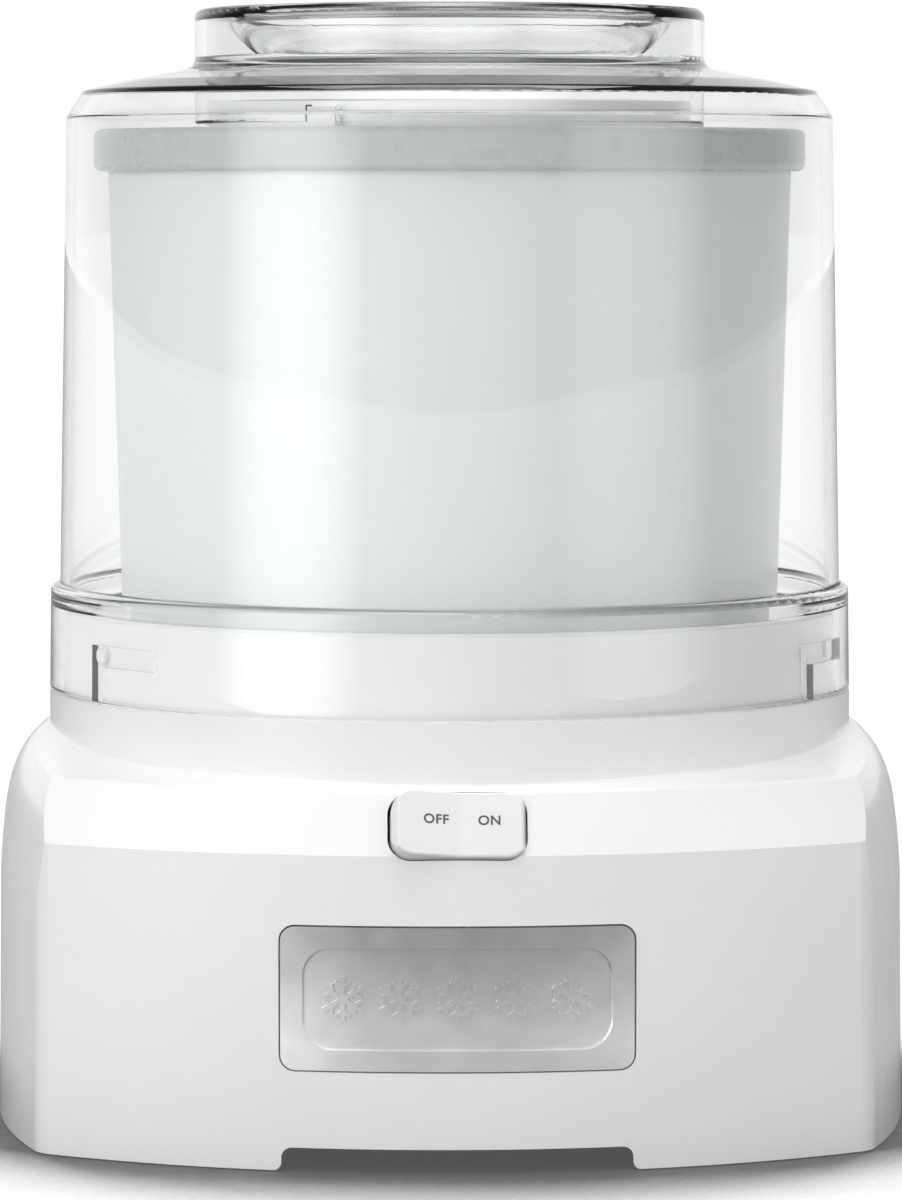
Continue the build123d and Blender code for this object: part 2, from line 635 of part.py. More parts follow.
def motor_spacers():
    """Two tubes between the motor and the gearbox."""
    spots = [(MOTOR_AT[0], MOTOR_AT[1] + side * MOTOR_SCREW_OFFSET) for side in (-1, 1)]
    return Compound(children=[tube(3.2, 2.0, STACK_Z[1] + 1.5, CASE_FLOOR_Z, spot).solid() for spot in spots])


def motor_rotor():
    """The squirrel cage: laminated drum and end rings."""
    low, high = STACK_Z
    rotor = rod(ROTOR_RADIUS, low, high) + rod(ROTOR_RADIUS - 2.4, low - 1.4, high + 1.4)
    return motor_local(rotor - rod(MOTOR_SHAFT_RADIUS + 0.02, 0, 60))


def motor_fan():
    """The cooling fan above the motor: hub, disc and eight blades."""
    fan = rod(5, 44.6, 50.4) + rod(15.6, 44.6, 45.8)
    blade = block((4.5, 15.6), (-0.6, 0.6), (45.5, 50.4))
    for turn in range(8):
        fan += Rot(0, 0, 45 * turn) * blade
    return motor_local(fan - rod(MOTOR_SHAFT_RADIUS + 0.02, 40, 60))


def thermal_cutout():
    """The cut-out strapped to the winding."""
    place = MOTOR_AT[0] + LEG_OUT + 5.3
    return block((place, place + 4), (MOTOR_AT[1] - 8, MOTOR_AT[1] - 2), (21, 35))


def terminal_block():
    """The connector block on the bottom cover."""
    z = COVER_BOTTOM_Z + COVER_THICK
    terminal = block((60, 82), (-8, 8), (z + 0.05, z + 11))
    for y in (-4, 4):
        terminal -= Plane((71, y, z + 6), z_dir=(1, 0, 0)) * Cylinder(1.8, 30)
    return terminal


def lead(points, radii):
    """One insulated wire along straight runs joined by arcs."""
    path = FilletPolyline(*points, radius=radii)
    start = Plane(origin=path @ 0, z_dir=path % 0)
    return sweep(start * Circle(1.3), path=path)


def lead_wires():
    """Gland to terminal block, block to switch, block to winding."""
    z = COVER_BOTTOM_Z + COVER_THICK + 6
    gland_z = GLAND_AT[2]
    from_gland = [(0, 67.8, gland_z), (0, 64, gland_z), (40, 64, gland_z)]
    supply = lead([*from_gland, (94, 40, z), (94, 4, z), (82.5, 4, z)], [3, 20, 15, 5])
    along_front = [(93, -40, 17), (60, -72, 20), (9, -70, 30)]
    to_switch = lead([(82.5, -4, z), (93, -4, z), *along_front, (9, -80.3, 66.5)], [5, 15, 15, 10])
    to_winding = lead([(59.4, 4, z), (50, 4, z), (44, 42, 24), (28.9, 42, 26)], [6, 8])
    return Compound(children=[wire.solid() for wire in (supply, to_switch, to_winding)])


# ---------------------------------------------------------------- output drive
def output_shaft():
    """The steel shaft from the gearbox to the hub."""
    return chamfer(rod(OUTPUT_SHAFT_RADIUS, 52.2, 105.5).edges(), 0.6) - cross_pin_hole()


def cross_pin_hole():
    """The hole of the drive pin, along X."""
    return Pos(0, 0, 101.5) * Rot(0, 90, 0) * Cylinder(1.5, 60)


def drive_pin():
    """The cross pin that keys the hub to the shaft."""
    return Pos(0, 0, 101.5) * Rot(0, 90, 0) * Cylinder(1.5, 21)


def ribbed(root, rib, width, low, high):
    """A round boss with evenly spaced ribs."""
    boss = rod(root, low, high)
    for turn in range(HUB_RIBS):
        bar = block((root - 2, rib), (-width / 2, width / 2), (low, high))
        boss += Rot(0, 0, 360 / HUB_RIBS * turn) * bar
    return boss


def drive_hub():
    """The ribbed hub and flange that carry and turn the bowl."""
    hub = ribbed(HUB_ROOT_RADIUS, HUB_RIB_RADIUS, 4.0, HUB_BOTTOM_Z, HUB_TOP_Z)
    hub += rod(HUB_FLANGE_RADIUS, HUB_BOTTOM_Z, HUB_BOTTOM_Z + HUB_FLANGE_THICK)
    return hub - rod(OUTPUT_SHAFT_RADIUS + 0.02, 90, 106) - cross_pin_hole()


# ---------------------------------------------------------------- freezer bowl
def rounded_turning(*corners):
    """A full turn of a polygon whose corners (distance, height, radius) are rounded where radius is set."""
    face = Polygon(*[(x, z) for x, z, _ in corners], align=None)
    for x, z, radius in corners:
        if radius:
            face = fillet(face.vertices().sort_by_distance((x, z))[0], radius)
    return revolve(Plane.XZ * face, Axis.Z)


def bowl_shell():
    """The outer wall and floor of the bowl, with the socket for the hub."""
    skin = BOWL_SKIN
    foot, top = BOWL_FOOT_RADIUS, BOWL_TOP_RADIUS
    shell = rounded_turning(
        (0, BOWL_BOTTOM_Z, 0), (foot, BOWL_BOTTOM_Z, 5), (top, SHELL_TOP_Z, 0), (top - skin, SHELL_TOP_Z, 0),
        (foot - skin, BOWL_BOTTOM_Z + skin, 3), (0, BOWL_BOTTOM_Z + skin, 0),
    )
    shell += rod(17.0, BOWL_BOTTOM_Z, SOCKET_TOP_Z)
    socket = ribbed(
        HUB_ROOT_RADIUS + 0.4, HUB_RIB_RADIUS + 0.4, 4.8, BOWL_BOTTOM_Z - 1, HUB_TOP_Z + 0.6,
    )
    return shell - socket


def bowl_liner():
    """The aluminium cup that the mixture freezes on."""
    foot, top, skin = LINER_FOOT_RADIUS, LINER_TOP_RADIUS, LINER_SKIN
    flange_z = SHELL_TOP_Z + 0.05
    return rounded_turning(
        (0, LINER_FLOOR_Z - skin, 0), (foot + skin, LINER_FLOOR_Z - skin, 7.5), (top + skin, flange_z, 0),
        (BOWL_TOP_RADIUS - 0.2, flange_z, 0), (BOWL_TOP_RADIUS - 0.2, flange_z + skin, 0),
        (top, flange_z + skin, 1.2), (foot, LINER_FLOOR_Z, 6), (0, LINER_FLOOR_Z, 0),
    )


def bowl_coolant():
    """The freezing liquid between the walls, drawn frozen solid."""
    gap = 0.1
    foot, top = BOWL_FOOT_RADIUS - BOWL_SKIN - gap, BOWL_TOP_RADIUS - BOWL_SKIN - gap
    floor = BOWL_BOTTOM_Z + BOWL_SKIN + gap
    return rounded_turning(
        (17.1, floor, 0), (foot, floor, 3), (top, SHELL_TOP_Z - gap, 0),
        (LINER_TOP_RADIUS + LINER_SKIN + gap, SHELL_TOP_Z - gap, 0),
        (LINER_FOOT_RADIUS + LINER_SKIN + gap, LINER_FLOOR_Z - LINER_SKIN - gap, 7.5),
        (0, LINER_FLOOR_Z - LINER_SKIN - gap, 0), (0, SOCKET_TOP_Z + gap, 0), (17.1, SOCKET_TOP_Z + gap, 0),
    )


def bowl_rim():
    """The grey ring that caps the bowl."""
    inside = LINER_TOP_RADIUS + 0.4
    return rounded_turning(
        (BOWL_TOP_RADIUS + 0.2, RIM_BOTTOM_Z, 0.8), (RIM_RADIUS, RIM_BOTTOM_Z, 2), (RIM_RADIUS, RIM_TOP_Z, 2),
        (inside, RIM_TOP_Z, 1.4), (inside, SHELL_TOP_Z + LINER_SKIN + 0.1, 0),
        (BOWL_TOP_RADIUS + 0.2, SHELL_TOP_Z + LINER_SKIN + 0.1, 0),
    )


# ---------------------------------------------------------------- lid and paddle
def lid():
    """The clear lid: skirt, tall wall, chamfered cone, ring, inner tube and dished spout."""
    ring_inner = RING_RADIUS - RING_WALL
    body = rounded_turning(
        (SKIRT_INNER, LID_BOTTOM_Z, 0.5), (SKIRT_FOOT_RADIUS, LID_BOTTOM_Z, 0.8),
        (SKIRT_TOP_RADIUS, 136.3, 1.8), (101.9, 136.8, 0.6), (99.7, LID_SHOULDER_Z, 1.0),
        (95.3, 264.7, 1.2), (84.7, 267.1, 0), (69.0, 270.1, 0), (RING_RADIUS, 270.8, 3.2),
        (RING_RADIUS, TOTAL_HEIGHT, 2.2), (ring_inner, TOTAL_HEIGHT, 0.9), (ring_inner, TUBE_BOTTOM_Z, 0.8),
        (RING_RADIUS, TUBE_BOTTOM_Z, 0.8), (RING_RADIUS, 268.1, 0.8), (94.2, 262.8, 1.0),
        (97.5, LID_SHOULDER_Z - 0.6, 0.6), (99.6, 135.2, 0), (SKIRT_INNER, 131.4, 0),
    )
    body += spout_dish()
    for angle in LUG_ANGLES:
        track = (SKIRT_INNER - 0.5, TRACK_OUTER, LUG_Z - 2.7, LUG_Z + 2.7)
        body -= sector(*track, angle - 1.6, TWIST_DEGREES + 3.2)
        body -= sector(SKIRT_INNER - 0.5, TRACK_OUTER, LID_BOTTOM_Z - 1, LUG_Z + 2.7, angle - 1.6, 3.2)
    for angle in KEY_ANGLES:
        body -= Rot(0, 0, angle) * block((60, RING_RADIUS + 0.2), (-4.4, 4.4), (TUBE_BOTTOM_Z - 1, 259.0))
    return body


def spout_dish():
    """The dished funnel hung inside the ring."""
    wall = RING_RADIUS - RING_WALL
    lip = (56.5, 283.6)
    dish = ThreePointArc(lip, (50.0, 275.9), (41.5, 272.0))
    top = [Line((wall + 0.5, 284.4), lip), dish]
    low = [Line((41.5, 270.4), (41.5, 272.0)), ThreePointArc((41.5, 270.4), (51.0, 274.6), (57.8, 281.9))]
    close = [Line((57.8, 281.9), (wall + 0.5, 282.8)), Line((wall + 0.5, 282.8), (wall + 0.5, 284.4))]
    return revolve(Plane.XZ * make_face(Wire([e.edge() for e in top + low + close])), Axis.Z)


def mixing_paddle():
    """The fixed scraper: keyed ring, two side blades, foot bars and struts."""
    paddle = tube(PADDLE_RING_OUTER, PADDLE_RING_INNER, PADDLE_RING_BOTTOM_Z, PADDLE_TOP_Z)
    for angle in KEY_ANGLES:
        paddle += Rot(0, 0, angle) * block((60, RING_RADIUS - 0.3), (-4, 4), (250, 258.6))
    blade = Plane.XZ * Polygon(
        (57, 248), (62, 248), (73.6, 236), (70.4, 122), (64, PADDLE_FOOT_Z), (3, PADDLE_FOOT_Z), (3, 124),
        (54, 130), (63, 150), (65.5, 226), align=None,
    )
    for turn in (0, 180):
        paddle += Rot(0, 0, turn) * extrude(blade, 1.6, both=True)
    paddle += rod(9, PADDLE_FOOT_Z, 126)
    return paddle


# ---------------------------------------------------------------- write every sub-part
def main():
    motor_pinion, idler_1, idler_2, output_gear = gear_train()
    cover_low = COVER_BOTTOM_Z
    ear_tip = DECK_BOTTOM_Z - 2
    shaft_top = 61.0
    parts = {
        "base_housing": base_housing(),
        "bottom_cover": bottom_cover(),
        "rubber_feet": rubber_feet(),
        "cover_screws": screws(SCREW_SPOTS, cover_low, 26.0, 1.55, 3.6, 2.4),
        "nameplate": nameplate(),
        "rocker_button": rocker_button(),
        "switch_body": switch_body(),
        "cord_pocket": cord_pocket(),
        "cord_gland": cord_gland(),
        "terminal_block": terminal_block(),
        "lead_wires": lead_wires(),
        "gearbox_lower": gearbox_lower(),
        "gearbox_upper": gearbox_upper(),
        "gearbox_screws": screws(CASE_EARS, CASE_FLOOR_Z, ear_tip, 1.55, 3.8, 2.8),
        "gear_pins": gear_pins(),
        "shaft_bushes": shaft_bushes(),
        "shaft_seal": shaft_seal(),
        "motor_stack": motor_stack(),
        "coil_bobbin": coil_bobbin(),
        "coil_winding": coil_winding(),
        "motor_bracket_lower": motor_bracket(False),
        "motor_bracket_upper": motor_bracket(True),
        "motor_bushes": motor_bushes(),
        "motor_screws": motor_screws(),
        "motor_spacers": motor_spacers(),
        "thermal_cutout": thermal_cutout(),
        "motor_shaft": rod(MOTOR_SHAFT_RADIUS, 11.9, shaft_top, MOTOR_AT),
        "motor_rotor": motor_rotor(),
        "motor_fan": motor_fan(),
        "motor_pinion": motor_pinion,
        "idler_gear_1": idler_1,
        "idler_gear_2": idler_2,
        "output_gear": output_gear,
        "output_shaft": output_shaft(),
        "drive_pin": drive_pin(),
        "drive_hub": drive_hub(),
        "bowl_shell": bowl_shell(),
        "bowl_liner": bowl_liner(),
        "bowl_coolant": bowl_coolant(),
        "bowl_rim": bowl_rim(),
        "mixing_paddle": mixing_paddle(),
        "lid": lid(),
    }
    os.makedirs("parts", exist_ok=True)
    for name, shape in parts.items():
        save(name, shape)


if __name__ == "__main__":
    main()
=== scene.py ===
"""Looks of the frozen-bowl ice cream maker: finishes, printed legends and studio."""

import json
import logging
import math
from dataclasses import dataclass
from enum import Enum
from typing import Sequence

import bpy
from mathutils import Matrix, Vector

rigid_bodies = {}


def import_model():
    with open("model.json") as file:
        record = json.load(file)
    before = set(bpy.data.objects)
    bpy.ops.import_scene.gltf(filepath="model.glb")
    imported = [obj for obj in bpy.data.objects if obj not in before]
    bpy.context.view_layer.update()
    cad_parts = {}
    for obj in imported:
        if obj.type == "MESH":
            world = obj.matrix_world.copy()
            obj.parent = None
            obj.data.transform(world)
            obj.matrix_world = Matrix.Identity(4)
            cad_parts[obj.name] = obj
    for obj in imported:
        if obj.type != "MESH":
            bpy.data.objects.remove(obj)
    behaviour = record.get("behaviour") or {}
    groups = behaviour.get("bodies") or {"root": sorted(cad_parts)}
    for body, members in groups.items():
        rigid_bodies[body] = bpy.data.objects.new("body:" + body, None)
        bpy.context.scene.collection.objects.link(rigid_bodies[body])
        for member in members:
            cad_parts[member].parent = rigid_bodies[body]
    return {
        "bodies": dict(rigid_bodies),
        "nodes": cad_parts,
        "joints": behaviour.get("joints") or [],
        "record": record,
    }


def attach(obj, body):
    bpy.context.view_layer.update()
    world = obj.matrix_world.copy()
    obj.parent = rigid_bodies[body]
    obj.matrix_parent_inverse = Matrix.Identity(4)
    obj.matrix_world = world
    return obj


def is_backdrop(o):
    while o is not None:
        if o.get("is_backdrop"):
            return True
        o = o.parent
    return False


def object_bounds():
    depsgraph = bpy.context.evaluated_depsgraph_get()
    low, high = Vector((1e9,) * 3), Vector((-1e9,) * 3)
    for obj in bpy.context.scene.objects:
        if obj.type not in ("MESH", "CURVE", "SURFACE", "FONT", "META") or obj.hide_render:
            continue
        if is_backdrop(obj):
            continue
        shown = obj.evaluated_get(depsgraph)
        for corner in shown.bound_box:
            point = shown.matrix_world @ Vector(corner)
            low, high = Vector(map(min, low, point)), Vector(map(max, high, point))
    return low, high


logging.basicConfig(level=logging.INFO, format="%(message)s")
LOG = logging.getLogger("ice_cream_maker")

MM = 0.001
Colour = tuple[float, float, float]
CLOUD_PER_METRE = 35.0            # slow drift of a finish's colour
PATCHES_PER_METRE = 120.0         # patches of more and less gloss
COAT_ROUGHNESS = 0.05
SCATTER_DEPTH = 1.5 * MM          # how far light travels inside a plastic
NOISE_LOW, NOISE_HIGH = 0.3, 0.7  # nearly all of a noise lies between these
BRUSH_DRAW = (0.02, 1.0, 1.0)     # draws a brushed grain out along X
BAND_WAVER = 0.4                  # how far rings and layers wander
CAP_TO_FONT_SIZE = 0.7            # height of a capital as a share of the font's size
FEATHER_GAIN = 36.0               # one over the mean of u(1-u)v(1-v), so the lamp keeps its power


class Grain(Enum):
    """How the fine relief of a finish runs."""

    PEEL = "peel"
    SPARK = "spark"
    BRUSHED = "brushed"
    TURNED = "turned"
    STACKED = "stacked"
    CAST = "cast"


# ---------------------------------------------------------------- node helper
class NodeBoard:
    """A material's node tree, with short ways to add and join nodes."""

    def __init__(self, name: str) -> None:
        """Start an empty node material.

        Args:
            name: the material's name.
        """
        self.material = bpy.data.materials.new(name)
        self.material.use_nodes = True
        self.tree = self.material.node_tree
        self.tree.nodes.clear()
        self.output = self.add("ShaderNodeOutputMaterial")

    def add(self, kind: str, **settings: object) -> bpy.types.Node:
        """Add a node.

        Args:
            kind: the node's type name.
            settings: properties of the node itself.

        Returns:
            The new node.
        """
        node = self.tree.nodes.new(kind)
        for key, value in settings.items():
            setattr(node, key, value)
        return node

    def join(self, source: bpy.types.NodeSocket, target: bpy.types.NodeSocket) -> None:
        """Join two sockets.

        Args:
            source: the output.
            target: the input.
        """
        self.tree.links.new(source, target)

    def coords(self, scale: Sequence[float] = (1.0, 1.0, 1.0)) -> bpy.types.NodeSocket:
        """Object coordinates in metres, stretched by scale.

        Args:
            scale: factors along X, Y and Z.

        Returns:
            The vector socket.
        """
        place = self.add("ShaderNodeTexCoord")
        mapping = self.add("ShaderNodeMapping")
        mapping.inputs["Scale"].default_value = scale
        self.join(place.outputs["Object"], mapping.inputs["Vector"])
        return mapping.outputs["Vector"]

    def noise(
        self, vector: bpy.types.NodeSocket, scale: float, detail: float = 3.0
    ) -> bpy.types.NodeSocket:
        """A noise value.

        Args:
            vector: where it is read.
            scale: features per metre.
            detail: octaves.

        Returns:
            The value socket, 0 to 1.
        """
        node = self.add("ShaderNodeTexNoise")
        node.inputs["Scale"].default_value = scale
        node.inputs["Detail"].default_value = detail
        self.join(vector, node.inputs["Vector"])
        return node.outputs["Fac"]

    def spread(
        self, value: bpy.types.NodeSocket, low: float, high: float
    ) -> bpy.types.NodeSocket:
        """Spread a 0 to 1 value over a range.

        Args:
            value: the value socket.
            low: result at NOISE_LOW.
            high: result at NOISE_HIGH.

        Returns:
            The spread value.
        """
        node = self.add("ShaderNodeMapRange")
        node.inputs["From Min"].default_value = NOISE_LOW
        node.inputs["From Max"].default_value = NOISE_HIGH
        node.inputs["To Min"].default_value = low
        node.inputs["To Max"].default_value = high
        self.join(value, node.inputs["Value"])
        return node.outputs["Result"]

    def blend(
        self, value: bpy.types.NodeSocket, first: Colour, second: Colour
    ) -> bpy.types.NodeSocket:
        """Blend two colours by a value.

        Args:
            value: the value socket.
            first: colour at NOISE_LOW.
            second: colour at NOISE_HIGH.

        Returns:
            The colour socket.
        """
        ramp = self.add("ShaderNodeValToRGB")
        ramp.color_ramp.elements[0].position = NOISE_LOW
        ramp.color_ramp.elements[1].position = NOISE_HIGH
        ramp.color_ramp.elements[0].color = (*first, 1.0)
        ramp.color_ramp.elements[1].color = (*second, 1.0)
        self.join(value, ramp.inputs["Fac"])
        return ramp.outputs["Color"]

    def bump(
        self, height: bpy.types.NodeSocket, depth: float, strength: float = 1.0
    ) -> bpy.types.NodeSocket:
        """Turn a height into a normal.

        Args:
            height: the height socket.
            depth: relief in metres.
            strength: how much of it shows.

        Returns:
            The normal socket.
        """
        node = self.add("ShaderNodeBump")
        node.inputs["Distance"].default_value = depth
        node.inputs["Strength"].default_value = strength
        self.join(height, node.inputs["Height"])
        return node.outputs["Normal"]


# ---------------------------------------------------------------- finishes
@dataclass(frozen=True)
class Finish:
    """An opaque finish: colour, sheen and fine relief, all varied by nodes, with optional painted light and
    shade that runs with height.
    """

    name: str
    colour: Colour
    roughness: float
    metallic: float = 0.0
    grain: Grain = Grain.PEEL
    grain_size: float = 0.4 * MM
    relief: float = 0.004 * MM
    mottle: float = 0.03
    gloss_spread: float = 0.15
    coat: float = 0.0
    subsurface: float = 0.0
    # painted light and shade: low height, high height and the colour factor at each
    painted_light_by_height: tuple[float, float, float, float] = (0.0, 1.0, 1.0, 1.0)

    def shade(self, factor: float) -> Colour:
        """The colour, darker or lighter by a factor.

        Args:
            factor: what each channel is multiplied by.

        Returns:
            The new colour.
        """
        return tuple(min(1.0, c * factor) for c in self.colour)

    def relief_height(self, board: NodeBoard) -> bpy.types.NodeSocket:
        """The height pattern of the grain.

        Args:
            board: the material's nodes.

        Returns:
            A value socket.
        """
        per_metre = 1.0 / self.grain_size
        if self.grain is Grain.BRUSHED:
            return board.noise(board.coords(BRUSH_DRAW), per_metre, 4.0)
        if self.grain is Grain.SPARK:
            cells = board.add("ShaderNodeTexVoronoi", feature="SMOOTH_F1")
            cells.inputs["Scale"].default_value = per_metre
            board.join(board.coords(), cells.inputs["Vector"])
            return cells.outputs["Distance"]
        if self.grain in (Grain.TURNED, Grain.STACKED):
            wave = board.add("ShaderNodeTexWave", wave_type="BANDS", bands_direction="Z")
            if self.grain is Grain.TURNED:
                wave.wave_type = "RINGS"
                wave.rings_direction = "Z"
            wave.inputs["Scale"].default_value = per_metre / (2 * math.pi)
            wave.inputs["Distortion"].default_value = BAND_WAVER
            board.join(board.coords(), wave.inputs["Vector"])
            return wave.outputs["Fac"]
        detail = 6.0 if self.grain is Grain.CAST else 2.0
        return board.noise(board.coords(), per_metre, detail)

    def paint_light_by_height(self, board: NodeBoard, tone: bpy.types.NodeSocket) -> bpy.types.NodeSocket:
        """Paint light and shade into a colour: multiply it by a factor that runs with height.

        Args:
            board: the material's nodes.
            tone: the colour.

        Returns:
            The colour, darker or lighter from fade's low height to its high one.
        """
        low, high, factor_low, factor_high = self.painted_light_by_height
        if factor_low == factor_high == 1.0:
            return tone
        split = board.add("ShaderNodeSeparateXYZ")
        board.join(board.coords(), split.inputs["Vector"])
        ramp = board.add("ShaderNodeMapRange", interpolation_type="SMOOTHSTEP")
        limits = {"From Min": low, "From Max": high, "To Min": factor_low, "To Max": factor_high}
        for name, value in limits.items():
            ramp.inputs[name].default_value = value
        board.join(split.outputs["Z"], ramp.inputs["Value"])
        product = board.add("ShaderNodeVectorMath", operation="SCALE")
        board.join(tone, product.inputs[0])
        board.join(ramp.outputs["Result"], product.inputs["Scale"])
        return product.outputs["Vector"]

    def material(self) -> bpy.types.Material:
        """Build the material.

        Returns:
            The node material.
        """
        board = NodeBoard(self.name)
        shader = board.add("ShaderNodeBsdfPrincipled")
        shader.inputs["Metallic"].default_value = self.metallic
        shader.inputs["Coat Weight"].default_value = self.coat
        shader.inputs["Coat Roughness"].default_value = COAT_ROUGHNESS
        shader.inputs["Subsurface Weight"].default_value = self.subsurface
        shader.inputs["Subsurface Scale"].default_value = SCATTER_DEPTH
        height = self.relief_height(board)
        board.join(board.bump(height, self.relief), shader.inputs["Normal"])
        cloud = board.noise(board.coords(), CLOUD_PER_METRE)
        tone = board.blend(cloud, self.shade(1.0 - self.mottle), self.shade(1.0 + self.mottle))
        # the colour may carry painted light and shade that runs with height
        board.join(self.paint_light_by_height(board, tone), shader.inputs["Base Color"])
        low = self.roughness * (1.0 - self.gloss_spread)
        high = self.roughness * (1.0 + self.gloss_spread)
        patches = board.noise(board.coords(), PATCHES_PER_METRE, 5.0)
        board.join(board.spread(patches, low, high), shader.inputs["Roughness"])
        board.join(shader.outputs["BSDF"], board.output.inputs["Surface"])
        return board.material


@dataclass(frozen=True)
class ClearPlastic:
    """Polished clear plastic that lets lamps through to what it covers."""

    name: str
    tint: Colour
    ior: float
    roughness: float
    ripple: float
    tint_drift: float = 0.995
    tint_per_metre: float = 20.0
    haze_per_metre: float = 90.0
    haze_draw: tuple[float, float, float] = (1.0, 1.0, 0.2)
    flow_per_metre: float = 60.0
    flow_draw: tuple[float, float, float] = (1.0, 1.0, 0.25)
    flow_strength: float = 0.5
    lamp_pass: Colour = (0.97, 0.975, 0.975)

    def material(self) -> bpy.types.Material:
        """Build the material.

        Returns:
            The node material.
        """
        board = NodeBoard(self.name)
        shader = board.add("ShaderNodeBsdfPrincipled")
        shader.inputs["Transmission Weight"].default_value = 1.0
        shader.inputs["IOR"].default_value = self.ior
        cloud = board.noise(board.coords(), self.tint_per_metre)
        tint = board.blend(cloud, tuple(c * self.tint_drift for c in self.tint), self.tint)
        board.join(tint, shader.inputs["Base Color"])
        haze = board.noise(board.coords(self.haze_draw), self.haze_per_metre, 4.0)
        blur = board.spread(haze, 0.4 * self.roughness, 1.6 * self.roughness)
        board.join(blur, shader.inputs["Roughness"])
        flow = board.noise(board.coords(self.flow_draw), self.flow_per_metre, 1.0)
        board.join(board.bump(flow, self.ripple, self.flow_strength), shader.inputs["Normal"])
        path = board.add("ShaderNodeLightPath")
        open_way = board.add("ShaderNodeBsdfTransparent")
        open_way.inputs["Color"].default_value = (*self.lamp_pass, 1.0)
        mix = board.add("ShaderNodeMixShader")
        board.join(path.outputs["Is Shadow Ray"], mix.inputs["Fac"])
        board.join(shader.outputs["BSDF"], mix.inputs[1])
        board.join(open_way.outputs["BSDF"], mix.inputs[2])
        board.join(mix.outputs["Shader"], board.output.inputs["Surface"])
        return board.material


